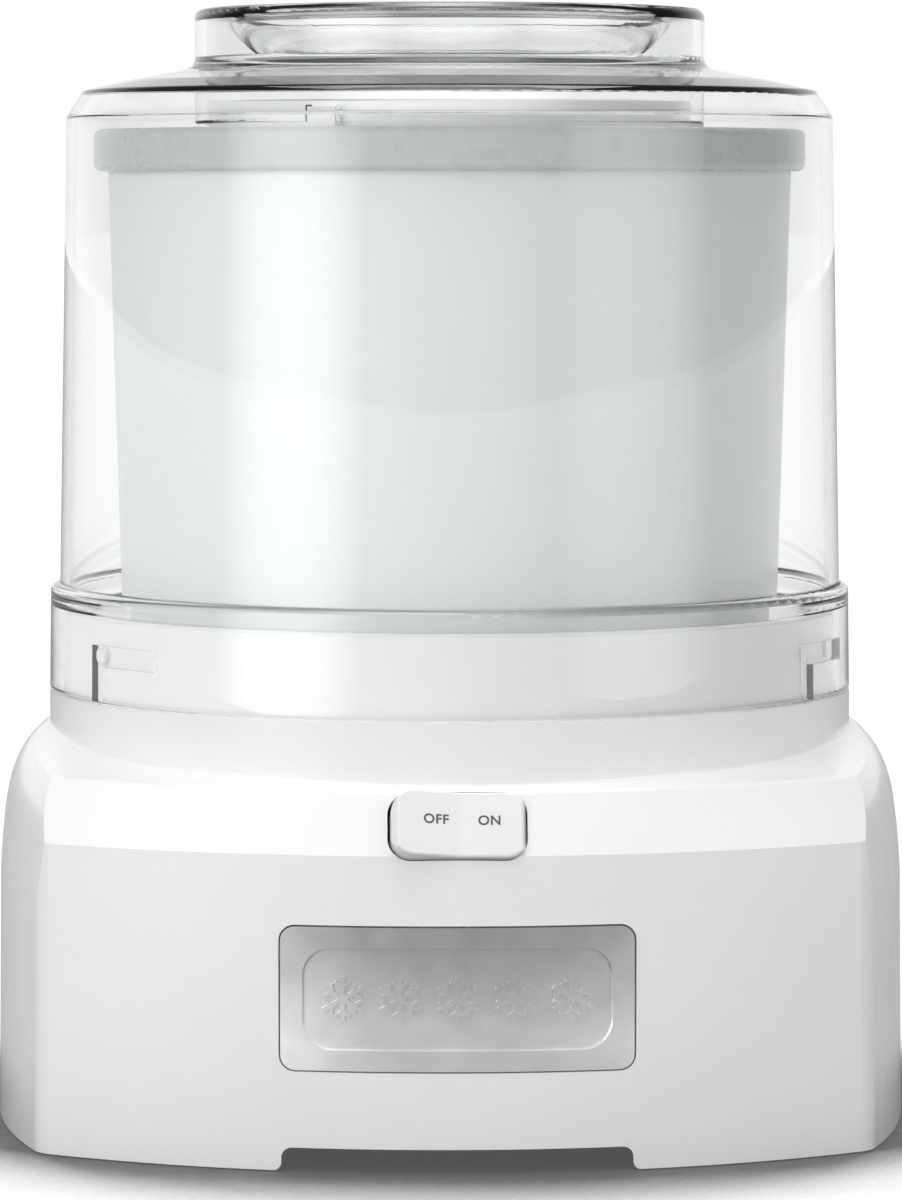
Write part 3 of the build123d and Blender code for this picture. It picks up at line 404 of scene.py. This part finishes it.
FINISHES: dict[str, Finish | ClearPlastic] = {
    "white_housing": Finish("gloss_white", (0.83, 0.83, 0.825), 0.2, coat=0.25, mottle=0.008,
                            grain_size=1.2 * MM, relief=0.0015 * MM, subsurface=0.08),
    "white_button": Finish("button_white", (0.75, 0.75, 0.75), 0.22, coat=0.2, mottle=0.01,
                           grain_size=0.9 * MM, relief=0.0015 * MM, subsurface=0.08),
    "clear_lid": ClearPlastic("clear_lid", (0.965, 0.97, 0.97), 1.5, 0.012, 0.0003 * MM),
    # painted reflection: the brushed plate is lightened towards its bottom and darkened towards its top
    "silver_plate": Finish("brushed_silver", (0.7, 0.705, 0.71), 0.36, metallic=1.0, grain=Grain.BRUSHED,
                           grain_size=0.25 * MM, relief=0.006 * MM, mottle=0.05,
                           painted_light_by_height=(0.026, 0.060, 1.5, 0.85)),
    "bowl_white": Finish("bowl_white", (0.79, 0.81, 0.81), 0.32, mottle=0.004, gloss_spread=0.04,
                         grain_size=1.0 * MM, relief=0.002 * MM, subsurface=0.1),
    "rim_grey": Finish("rim_grey", (0.55, 0.57, 0.575), 0.28, mottle=0.01, gloss_spread=0.06,
                       grain_size=0.7 * MM, relief=0.004 * MM),
    "liner_aluminium": Finish("spun_aluminium", (0.8, 0.81, 0.82), 0.3, metallic=1.0, grain=Grain.TURNED,
                              grain_size=0.7 * MM, relief=0.006 * MM, mottle=0.04),
    "coolant": Finish("frozen_gel", (0.55, 0.75, 0.88), 0.5, grain=Grain.CAST, grain_size=4 * MM,
                      relief=0.2 * MM, mottle=0.12, subsurface=0.4),
    "paddle_white": Finish("paddle_white", (0.84, 0.84, 0.83), 0.34, mottle=0.012, grain_size=0.8 * MM,
                           relief=0.003 * MM, subsurface=0.12),
    "hub_grey": Finish("hub_grey", (0.1, 0.105, 0.11), 0.4, grain=Grain.SPARK, relief=0.01 * MM),
    "gear_acetal": Finish("gear_acetal", (0.8, 0.77, 0.68), 0.36, grain=Grain.CAST, grain_size=0.8 * MM,
                          relief=0.004 * MM, mottle=0.03, subsurface=0.2),
    "case_grey": Finish("case_grey", (0.07, 0.074, 0.08), 0.45, grain=Grain.SPARK, grain_size=0.3 * MM,
                        relief=0.015 * MM, mottle=0.08),
    "cover_white": Finish("cover_white", (0.7, 0.7, 0.695), 0.48, grain=Grain.SPARK, grain_size=0.35 * MM,
                          relief=0.02 * MM, mottle=0.02),
    "black_plastic": Finish("black_nylon", (0.018, 0.018, 0.02), 0.42, grain=Grain.SPARK,
                            grain_size=0.3 * MM, relief=0.012 * MM, mottle=0.15),
    "foot_rubber": Finish("foot_rubber", (0.03, 0.03, 0.032), 0.75, grain=Grain.CAST, grain_size=0.5 * MM,
                          relief=0.02 * MM, mottle=0.15),
    "steel": Finish("ground_steel", (0.58, 0.58, 0.6), 0.26, metallic=1.0, grain=Grain.STACKED,
                    grain_size=0.2 * MM, relief=0.002 * MM, mottle=0.05),
    "zinc_steel": Finish("zinc_plate", (0.62, 0.63, 0.6), 0.34, metallic=1.0, grain=Grain.CAST,
                         grain_size=0.6 * MM, relief=0.004 * MM, mottle=0.09),
    "stack_steel": Finish("lamination_steel", (0.22, 0.22, 0.235), 0.42, metallic=1.0, grain=Grain.STACKED,
                          grain_size=0.5 * MM, relief=0.12 * MM, mottle=0.15),
    "rotor_metal": Finish("rotor_metal", (0.5, 0.51, 0.52), 0.4, metallic=1.0, grain=Grain.STACKED,
                          grain_size=0.5 * MM, relief=0.06 * MM, mottle=0.1),
    "bronze": Finish("sintered_bronze", (0.5, 0.35, 0.18), 0.5, metallic=1.0, grain=Grain.CAST,
                     grain_size=0.25 * MM, relief=0.02 * MM, mottle=0.15),
    "copper": Finish("enamelled_copper", (0.62, 0.26, 0.1), 0.25, metallic=1.0, coat=0.6,
                     grain_size=0.5 * MM, relief=0.004 * MM, mottle=0.12),
    "bobbin_white": Finish("natural_nylon", (0.75, 0.73, 0.66), 0.42, grain=Grain.SPARK, mottle=0.03,
                           relief=0.008 * MM, subsurface=0.15),
    "wire_sheath": Finish("wire_sheath", (0.04, 0.04, 0.045), 0.38, mottle=0.1, relief=0.005 * MM),
    "legend_ink": Finish("legend_ink", (0.09, 0.09, 0.1), 0.5, grain_size=0.3 * MM, relief=0.003 * MM,
                         mottle=0.1),
}
# nearly black: the floor's white look is its glow, which carries a painted contact shadow
FLOOR = Finish("studio_floor", (0.06, 0.06, 0.06), 0.6, grain_size=3 * MM, relief=0.01 * MM, mottle=0.005)


class Wardrobe:
    """Builds each finish once and dresses nodes and pieces with it."""

    def __init__(self) -> None:
        """Start with no material built."""
        self.made: dict[str, bpy.types.Material] = {}

    def finish(self, slot: str) -> bpy.types.Material:
        """The material of a record slot, built when first asked for.

        Args:
            slot: the record's slot name.

        Returns:
            The material.
        """
        if slot not in self.made:
            self.made[slot] = FINISHES[slot].material()
        return self.made[slot]

    def dress(self, piece: bpy.types.Object, slot: str) -> None:
        """Give a piece the finish of a slot.

        Args:
            piece: the object.
            slot: the record's slot name.
        """
        if not piece.material_slots:
            piece.data.materials.append(None)
        for holder in piece.material_slots:
            holder.material = self.finish(slot)


# ---------------------------------------------------------------- sub-assemblies
@dataclass(frozen=True)
class SubAssembly:
    """A named group of CAD nodes that belong together."""

    title: str
    nodes: tuple[str, ...]

    def slots(self, frame: dict) -> dict[str, str]:
        """The material slot of each of its nodes.


        Returns:
            Slot names by node name.
        """
        rows = {row["node"]: row["material_slot"] for row in frame["record"]["subparts"]}
        return {node: rows[node] for node in self.nodes}

    def dress(self, frame: dict, wardrobe: Wardrobe) -> None:
        """Give every node its finish.

        Args:
            wardrobe: the finishes.
        """
        for node, slot in self.slots(frame).items():
            wardrobe.dress(frame["nodes"][node], slot)
            LOG.info("%s: %s has finish %s", self.title, node, slot)


ASSEMBLIES = (
    SubAssembly("base shell", ("base_housing", "bottom_cover", "rubber_feet", "cover_screws", "nameplate")),
    SubAssembly("rocker switch", ("rocker_button", "switch_body")),
    SubAssembly("mains wiring", ("cord_pocket", "cord_gland", "terminal_block", "lead_wires",
                                 "thermal_cutout")),
    SubAssembly("gearbox", ("gearbox_lower", "gearbox_upper", "gearbox_screws", "gear_pins",
                            "shaft_bushes", "shaft_seal")),
    SubAssembly("gear train", ("motor_pinion", "idler_gear_1", "idler_gear_2", "output_gear")),
    SubAssembly("motor", ("motor_stack", "coil_bobbin", "coil_winding", "motor_bracket_lower",
                          "motor_bracket_upper", "motor_bushes", "motor_screws", "motor_spacers",
                          "motor_shaft", "motor_rotor", "motor_fan")),
    SubAssembly("output drive", ("output_shaft", "drive_pin", "drive_hub")),
    SubAssembly("freezer bowl", ("bowl_shell", "bowl_liner", "bowl_coolant", "bowl_rim")),
    SubAssembly("lid and paddle", ("lid", "mixing_paddle")),
)


# ---------------------------------------------------------------- small tools
def clear_selection() -> None:
    """Deselect everything."""
    for item in bpy.context.selected_objects:
        item.select_set(False)
    bpy.context.view_layer.objects.active = None


# ---------------------------------------------------------------- rocker legends
@dataclass
class RockerLegends:
    """The printed words on the two halves of the rocker."""

    cap_height: float = 2.4 * MM
    raise_off: float = 0.04 * MM
    surface_over_pivot: float = 5.972 * MM
    off_slope: float = math.radians(11.0)
    off_at: float = -5.9 * MM
    on_at: float = 7.2 * MM
    up_slope: float = 0.9 * MM
    crease_at: float = 0.575 * MM
    stroke_gain: float = 0.022
    letter_gap: float = 1.08

    def place(self, joint: dict, along: float, slope: float) -> Matrix:
        """Where a word lies.

        Args:
            joint: the rocker's joint from the record.
            along: distance from the pivot along the button.
            slope: how far this half of the button is tipped up, in radians.

        Returns:
            The matrix from the text's plane to the frame.
        """
        up = Vector(joint["axis"]).normalized()
        across = Vector((1.0, 0.0, 0.0))
        out = across.cross(up)
        lift = Matrix.Rotation(slope, 3, up)
        along_face, normal = lift @ across, lift @ out
        apex = Vector(joint["pos_m"]) + out * self.surface_over_pivot + across * self.crease_at
        spot = apex + along_face * along + up * self.up_slope + normal * self.raise_off
        turn = Matrix((along_face, up, normal)).transposed().to_4x4()
        return Matrix.Translation(spot) @ turn

    def word(self, text: str, name: str, matrix: Matrix, wardrobe: Wardrobe) -> None:
        """Make one word as a thin mesh.

        Args:
            text: what it says.
            name: the piece's name.
            matrix: its place.
            wardrobe: the finishes.
        """
        clear_selection()
        bpy.ops.object.text_add()
        piece = bpy.context.object
        piece.name = name
        piece.data.body = text
        piece.data.align_x = "CENTER"
        piece.data.align_y = "CENTER"
        piece.data.size = self.cap_height / CAP_TO_FONT_SIZE
        piece.data.offset = self.stroke_gain * piece.data.size
        piece.data.extrude = self.raise_off * 0.5
        piece.data.space_character = self.letter_gap
        bpy.ops.object.convert(target="MESH")
        piece = bpy.context.object
        piece.data.transform(matrix)
        piece.data.materials.clear()
        wardrobe.dress(piece, "legend_ink")
        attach(piece, "rocker")
        LOG.info("made %s", name)

    def build(self, frame: dict, wardrobe: Wardrobe) -> None:
        """Make both words.

        Args:
            wardrobe: the finishes.
        """
        joint = next(j for j in frame["joints"] if j["name"] == "power_rocker")
        self.word("OFF", "legend_off", self.place(joint, self.off_at, self.off_slope), wardrobe)
        self.word("ON", "legend_on", self.place(joint, self.on_at, 0.0), wardrobe)


# ---------------------------------------------------------------- studio
@dataclass(frozen=True)
class SoftBox:
    """A soft lamp aimed at the object."""

    name: str
    azimuth: float
    height: float
    distance: float
    width: float
    tall: float
    watts: float

    def feather(self, data: bpy.types.AreaLight) -> None:
        """Fade the lamp's light towards its four edges.

        Args:
            data: the lamp.
        """
        data.use_nodes = True
        tree = data.node_tree
        emission = next(n for n in tree.nodes if n.type == "EMISSION")
        place = tree.nodes.new("ShaderNodeNewGeometry")
        split = tree.nodes.new("ShaderNodeSeparateXYZ")
        tree.links.new(place.outputs["Parametric"], split.inputs["Vector"])
        humps = []
        for axis in ("X", "Y"):
            rest = tree.nodes.new("ShaderNodeMath")
            rest.operation = "SUBTRACT"
            rest.inputs[0].default_value = 1.0
            tree.links.new(split.outputs[axis], rest.inputs[1])
            hump = tree.nodes.new("ShaderNodeMath")
            hump.operation = "MULTIPLY"
            tree.links.new(split.outputs[axis], hump.inputs[0])
            tree.links.new(rest.outputs["Value"], hump.inputs[1])
            humps.append(hump)
        product = tree.nodes.new("ShaderNodeMath")
        product.operation = "MULTIPLY"
        tree.links.new(humps[0].outputs["Value"], product.inputs[0])
        tree.links.new(humps[1].outputs["Value"], product.inputs[1])
        gain = tree.nodes.new("ShaderNodeMath")
        gain.operation = "MULTIPLY"
        gain.inputs[1].default_value = FEATHER_GAIN
        tree.links.new(product.outputs["Value"], gain.inputs[0])
        tree.links.new(gain.outputs["Value"], emission.inputs["Strength"])

    def build(self, aim: Vector) -> None:
        """Place the lamp.

        Args:
            aim: the point it faces.
        """
        angle = math.radians(self.azimuth)
        spot = Vector((math.sin(angle) * self.distance, -math.cos(angle) * self.distance, self.height))
        data = bpy.data.lights.new(self.name, "AREA")
        data.shape = "RECTANGLE"
        data.size, data.size_y = self.width, self.tall
        data.energy = self.watts
        self.feather(data)
        lamp = bpy.data.objects.new(self.name, data)
        lamp.location = spot
        lamp.rotation_euler = (aim - spot).to_track_quat("-Z", "Y").to_euler()
        lamp.visible_transmission = False
        bpy.context.scene.collection.objects.link(lamp)


@dataclass
class Studio:
    """A floor that looks white, soft lamps, a pale surround and the camera."""

    camera_distance: float = 1.4315
    camera_height: float = 0.2377
    camera_azimuth: float = -1.0
    camera_tilt: float = 4.234
    yaw_trim: float = 0.0147
    lens: float = 164.1
    film_height: float = 36.0
    far_clip: float = 200.0
    floor_reach: float = 30.0
    floor_glow: float = 0.34
    floor_sheen: float = 0.1
    # reach of the contact shadow painted into the floor's glow
    shadow_reach: float = 0.15
    front_glow: float = 0.42
    side_glow: float = 0.12
    edge_glow: float = 0.1
    side_span: tuple[float, float] = (0.3, 0.9)
    behind_span: tuple[float, float] = (0.45, 0.85)
    edge_span: tuple[float, float] = (0.4, 0.85)
    # ramp of the contact shadow painted into the floor's glow
    shadow_from: float = 0.63
    shadow_to: float = 0.87
    shadow_floor: float = 0.08
    lamps: tuple[SoftBox, ...] = (
        SoftBox("key_left", -47.0, 0.5, 1.6, 1.35, 2.0, 18.0),
        SoftBox("fill_right", 54.0, 0.5, 1.8, 1.7, 2.0, 13.0),
        SoftBox("top", 0.0, 1.8, 0.45, 1.6, 1.4, 15.5),
    )

    def floor(self) -> None:
        """Lay the floor: nearly black itself, it glows, and a contact shadow is painted into the glow near
        the object.
        """
        clear_selection()
        bpy.ops.mesh.primitive_plane_add(size=2 * self.floor_reach)
        sheet = bpy.context.object
        sheet.name = "studio_floor"
        material = FLOOR.material()
        shader = next(n for n in material.node_tree.nodes if n.type == "BSDF_PRINCIPLED")
        shader.inputs["Emission Color"].default_value = (1.0, 1.0, 1.0, 1.0)
        tree = material.node_tree
        # painted shadow: ambient occlusion dims the floor's glow near the object
        shade = tree.nodes.new("ShaderNodeAmbientOcclusion")
        shade.inputs["Distance"].default_value = self.shadow_reach
        painted_shadow_ramp = tree.nodes.new("ShaderNodeMapRange")
        painted_shadow_ramp.interpolation_type = "SMOOTHSTEP"
        painted_shadow_ramp.inputs["From Min"].default_value = self.shadow_from
        painted_shadow_ramp.inputs["From Max"].default_value = self.shadow_to
        painted_shadow_ramp.inputs["To Min"].default_value = self.shadow_floor
        painted_shadow_ramp.inputs["To Max"].default_value = 1.0
        tree.links.new(shade.outputs["AO"], painted_shadow_ramp.inputs["Value"])
        # full glow for camera and transmission rays; other rays get floor_glow, so the floor also glows
        # onto the object from below
        path = tree.nodes.new("ShaderNodeLightPath")
        level = tree.nodes.new("ShaderNodeMapRange")
        level.inputs["To Min"].default_value = self.floor_glow
        level.inputs["To Max"].default_value = 1.0
        straight = tree.nodes.new("ShaderNodeMath")
        straight.operation = "MAXIMUM"
        tree.links.new(path.outputs["Is Camera Ray"], straight.inputs[0])
        tree.links.new(path.outputs["Is Transmission Ray"], straight.inputs[1])
        tree.links.new(straight.outputs["Value"], level.inputs["Value"])
        glow = tree.nodes.new("ShaderNodeMath")
        glow.operation = "MULTIPLY"
        tree.links.new(painted_shadow_ramp.outputs["Result"], glow.inputs[0])
        tree.links.new(level.outputs["Result"], glow.inputs[1])
        tree.links.new(glow.outputs["Value"], shader.inputs["Emission Strength"])
        shader.inputs["Specular IOR Level"].default_value = self.floor_sheen
        sheet.data.materials.append(material)
        sheet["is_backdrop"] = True

    def surround(self) -> None:
        """Light the surround: white to the eye, softly uneven to the object."""
        world = bpy.data.worlds.new("surround")
        bpy.context.scene.world = world
        world.use_nodes = True
        tree = world.node_tree
        tree.nodes.clear()
        output = tree.nodes.new("ShaderNodeOutputWorld")
        seen = tree.nodes.new("ShaderNodeBackground")
        seen.inputs["Color"].default_value = (1.0, 1.0, 1.0, 1.0)
        seen.inputs["Strength"].default_value = 1.0
        lit = tree.nodes.new("ShaderNodeBackground")
        place = tree.nodes.new("ShaderNodeTexCoord")
        split = tree.nodes.new("ShaderNodeSeparateXYZ")
        tree.links.new(place.outputs["Generated"], split.inputs["Vector"])
        sideways = tree.nodes.new("ShaderNodeMath")
        sideways.operation = "ABSOLUTE"
        tree.links.new(split.outputs["X"], sideways.inputs[0])
        front = tree.nodes.new("ShaderNodeMapRange")
        front.inputs["From Min"].default_value = self.side_span[0]
        front.inputs["From Max"].default_value = self.side_span[1]
        front.inputs["To Min"].default_value = self.front_glow
        front.inputs["To Max"].default_value = self.side_glow
        tree.links.new(sideways.outputs["Value"], front.inputs["Value"])
        behind = tree.nodes.new("ShaderNodeMapRange")
        behind.inputs["From Min"].default_value = self.behind_span[0]
        behind.inputs["From Max"].default_value = self.behind_span[1]
        tree.links.new(split.outputs["Y"], behind.inputs["Value"])
        both = tree.nodes.new("ShaderNodeMath")
        both.operation = "MAXIMUM"
        tree.links.new(front.outputs["Result"], both.inputs[0])
        tree.links.new(behind.outputs["Result"], both.inputs[1])
        through = tree.nodes.new("ShaderNodeMapRange")
        through.inputs["From Min"].default_value = self.edge_span[0]
        through.inputs["From Max"].default_value = self.edge_span[1]
        through.inputs["To Min"].default_value = self.edge_glow
        tree.links.new(split.outputs["Y"], through.inputs["Value"])
        path = tree.nodes.new("ShaderNodeLightPath")
        bent = tree.nodes.new("ShaderNodeMix")
        tree.links.new(path.outputs["Is Transmission Ray"], bent.inputs["Factor"])
        tree.links.new(both.outputs["Value"], bent.inputs["A"])
        tree.links.new(through.outputs["Result"], bent.inputs["B"])
        tree.links.new(bent.outputs["Result"], lit.inputs["Color"])
        mix = tree.nodes.new("ShaderNodeMixShader")
        tree.links.new(path.outputs["Is Camera Ray"], mix.inputs["Fac"])
        tree.links.new(lit.outputs["Background"], mix.inputs[1])
        tree.links.new(seen.outputs["Background"], mix.inputs[2])
        tree.links.new(mix.outputs["Shader"], output.inputs["Surface"])

    def camera(self) -> None:
        """Place the camera."""
        data = bpy.data.cameras.new("camera")
        data.sensor_fit = "VERTICAL"
        data.sensor_height = self.film_height
        data.lens = self.lens
        data.clip_end = self.far_clip
        eye = bpy.data.objects.new("camera", data)
        angle = math.radians(self.camera_azimuth)
        eye.location = (
            math.sin(angle) * self.camera_distance,
            -math.cos(angle) * self.camera_distance,
            self.camera_height,
        )
        yaw = self.camera_azimuth - self.yaw_trim
        eye.rotation_euler = (math.radians(90.0 - self.camera_tilt), 0.0, math.radians(yaw))
        bpy.context.scene.collection.objects.link(eye)
        bpy.context.scene.camera = eye

    def build(self, aim: Vector) -> None:
        """Set the whole stage.

        Args:
            aim: the middle of the object.
        """
        self.floor()
        self.surround()
        for lamp in self.lamps:
            lamp.build(aim)
        self.camera()
        view = bpy.context.scene.view_settings
        view.view_transform = "Standard"
        LOG.info("stage set with %d lamps", len(self.lamps))


def corners(box: tuple[Vector, Vector]) -> list[list[float]]:
    """A box as plain lists.

    Args:
        box: its low and high corners.

    Returns:
        The two corners as lists.
    """
    return [list(corner) for corner in box]


def main() -> None:
    """Dress the frame, add the rocker's printed words, and set the stage."""
    for item in list(bpy.data.objects):
        bpy.data.objects.remove(item)
    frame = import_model()
    cad_box = corners(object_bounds())
    wardrobe = Wardrobe()
    for assembly in ASSEMBLIES:
        assembly.dress(frame, wardrobe)
    RockerLegends().build(frame, wardrobe)
    low, high = (Vector(corner) for corner in cad_box)
    Studio().build((low + high) / 2)


if __name__ == "__main__":
    main()
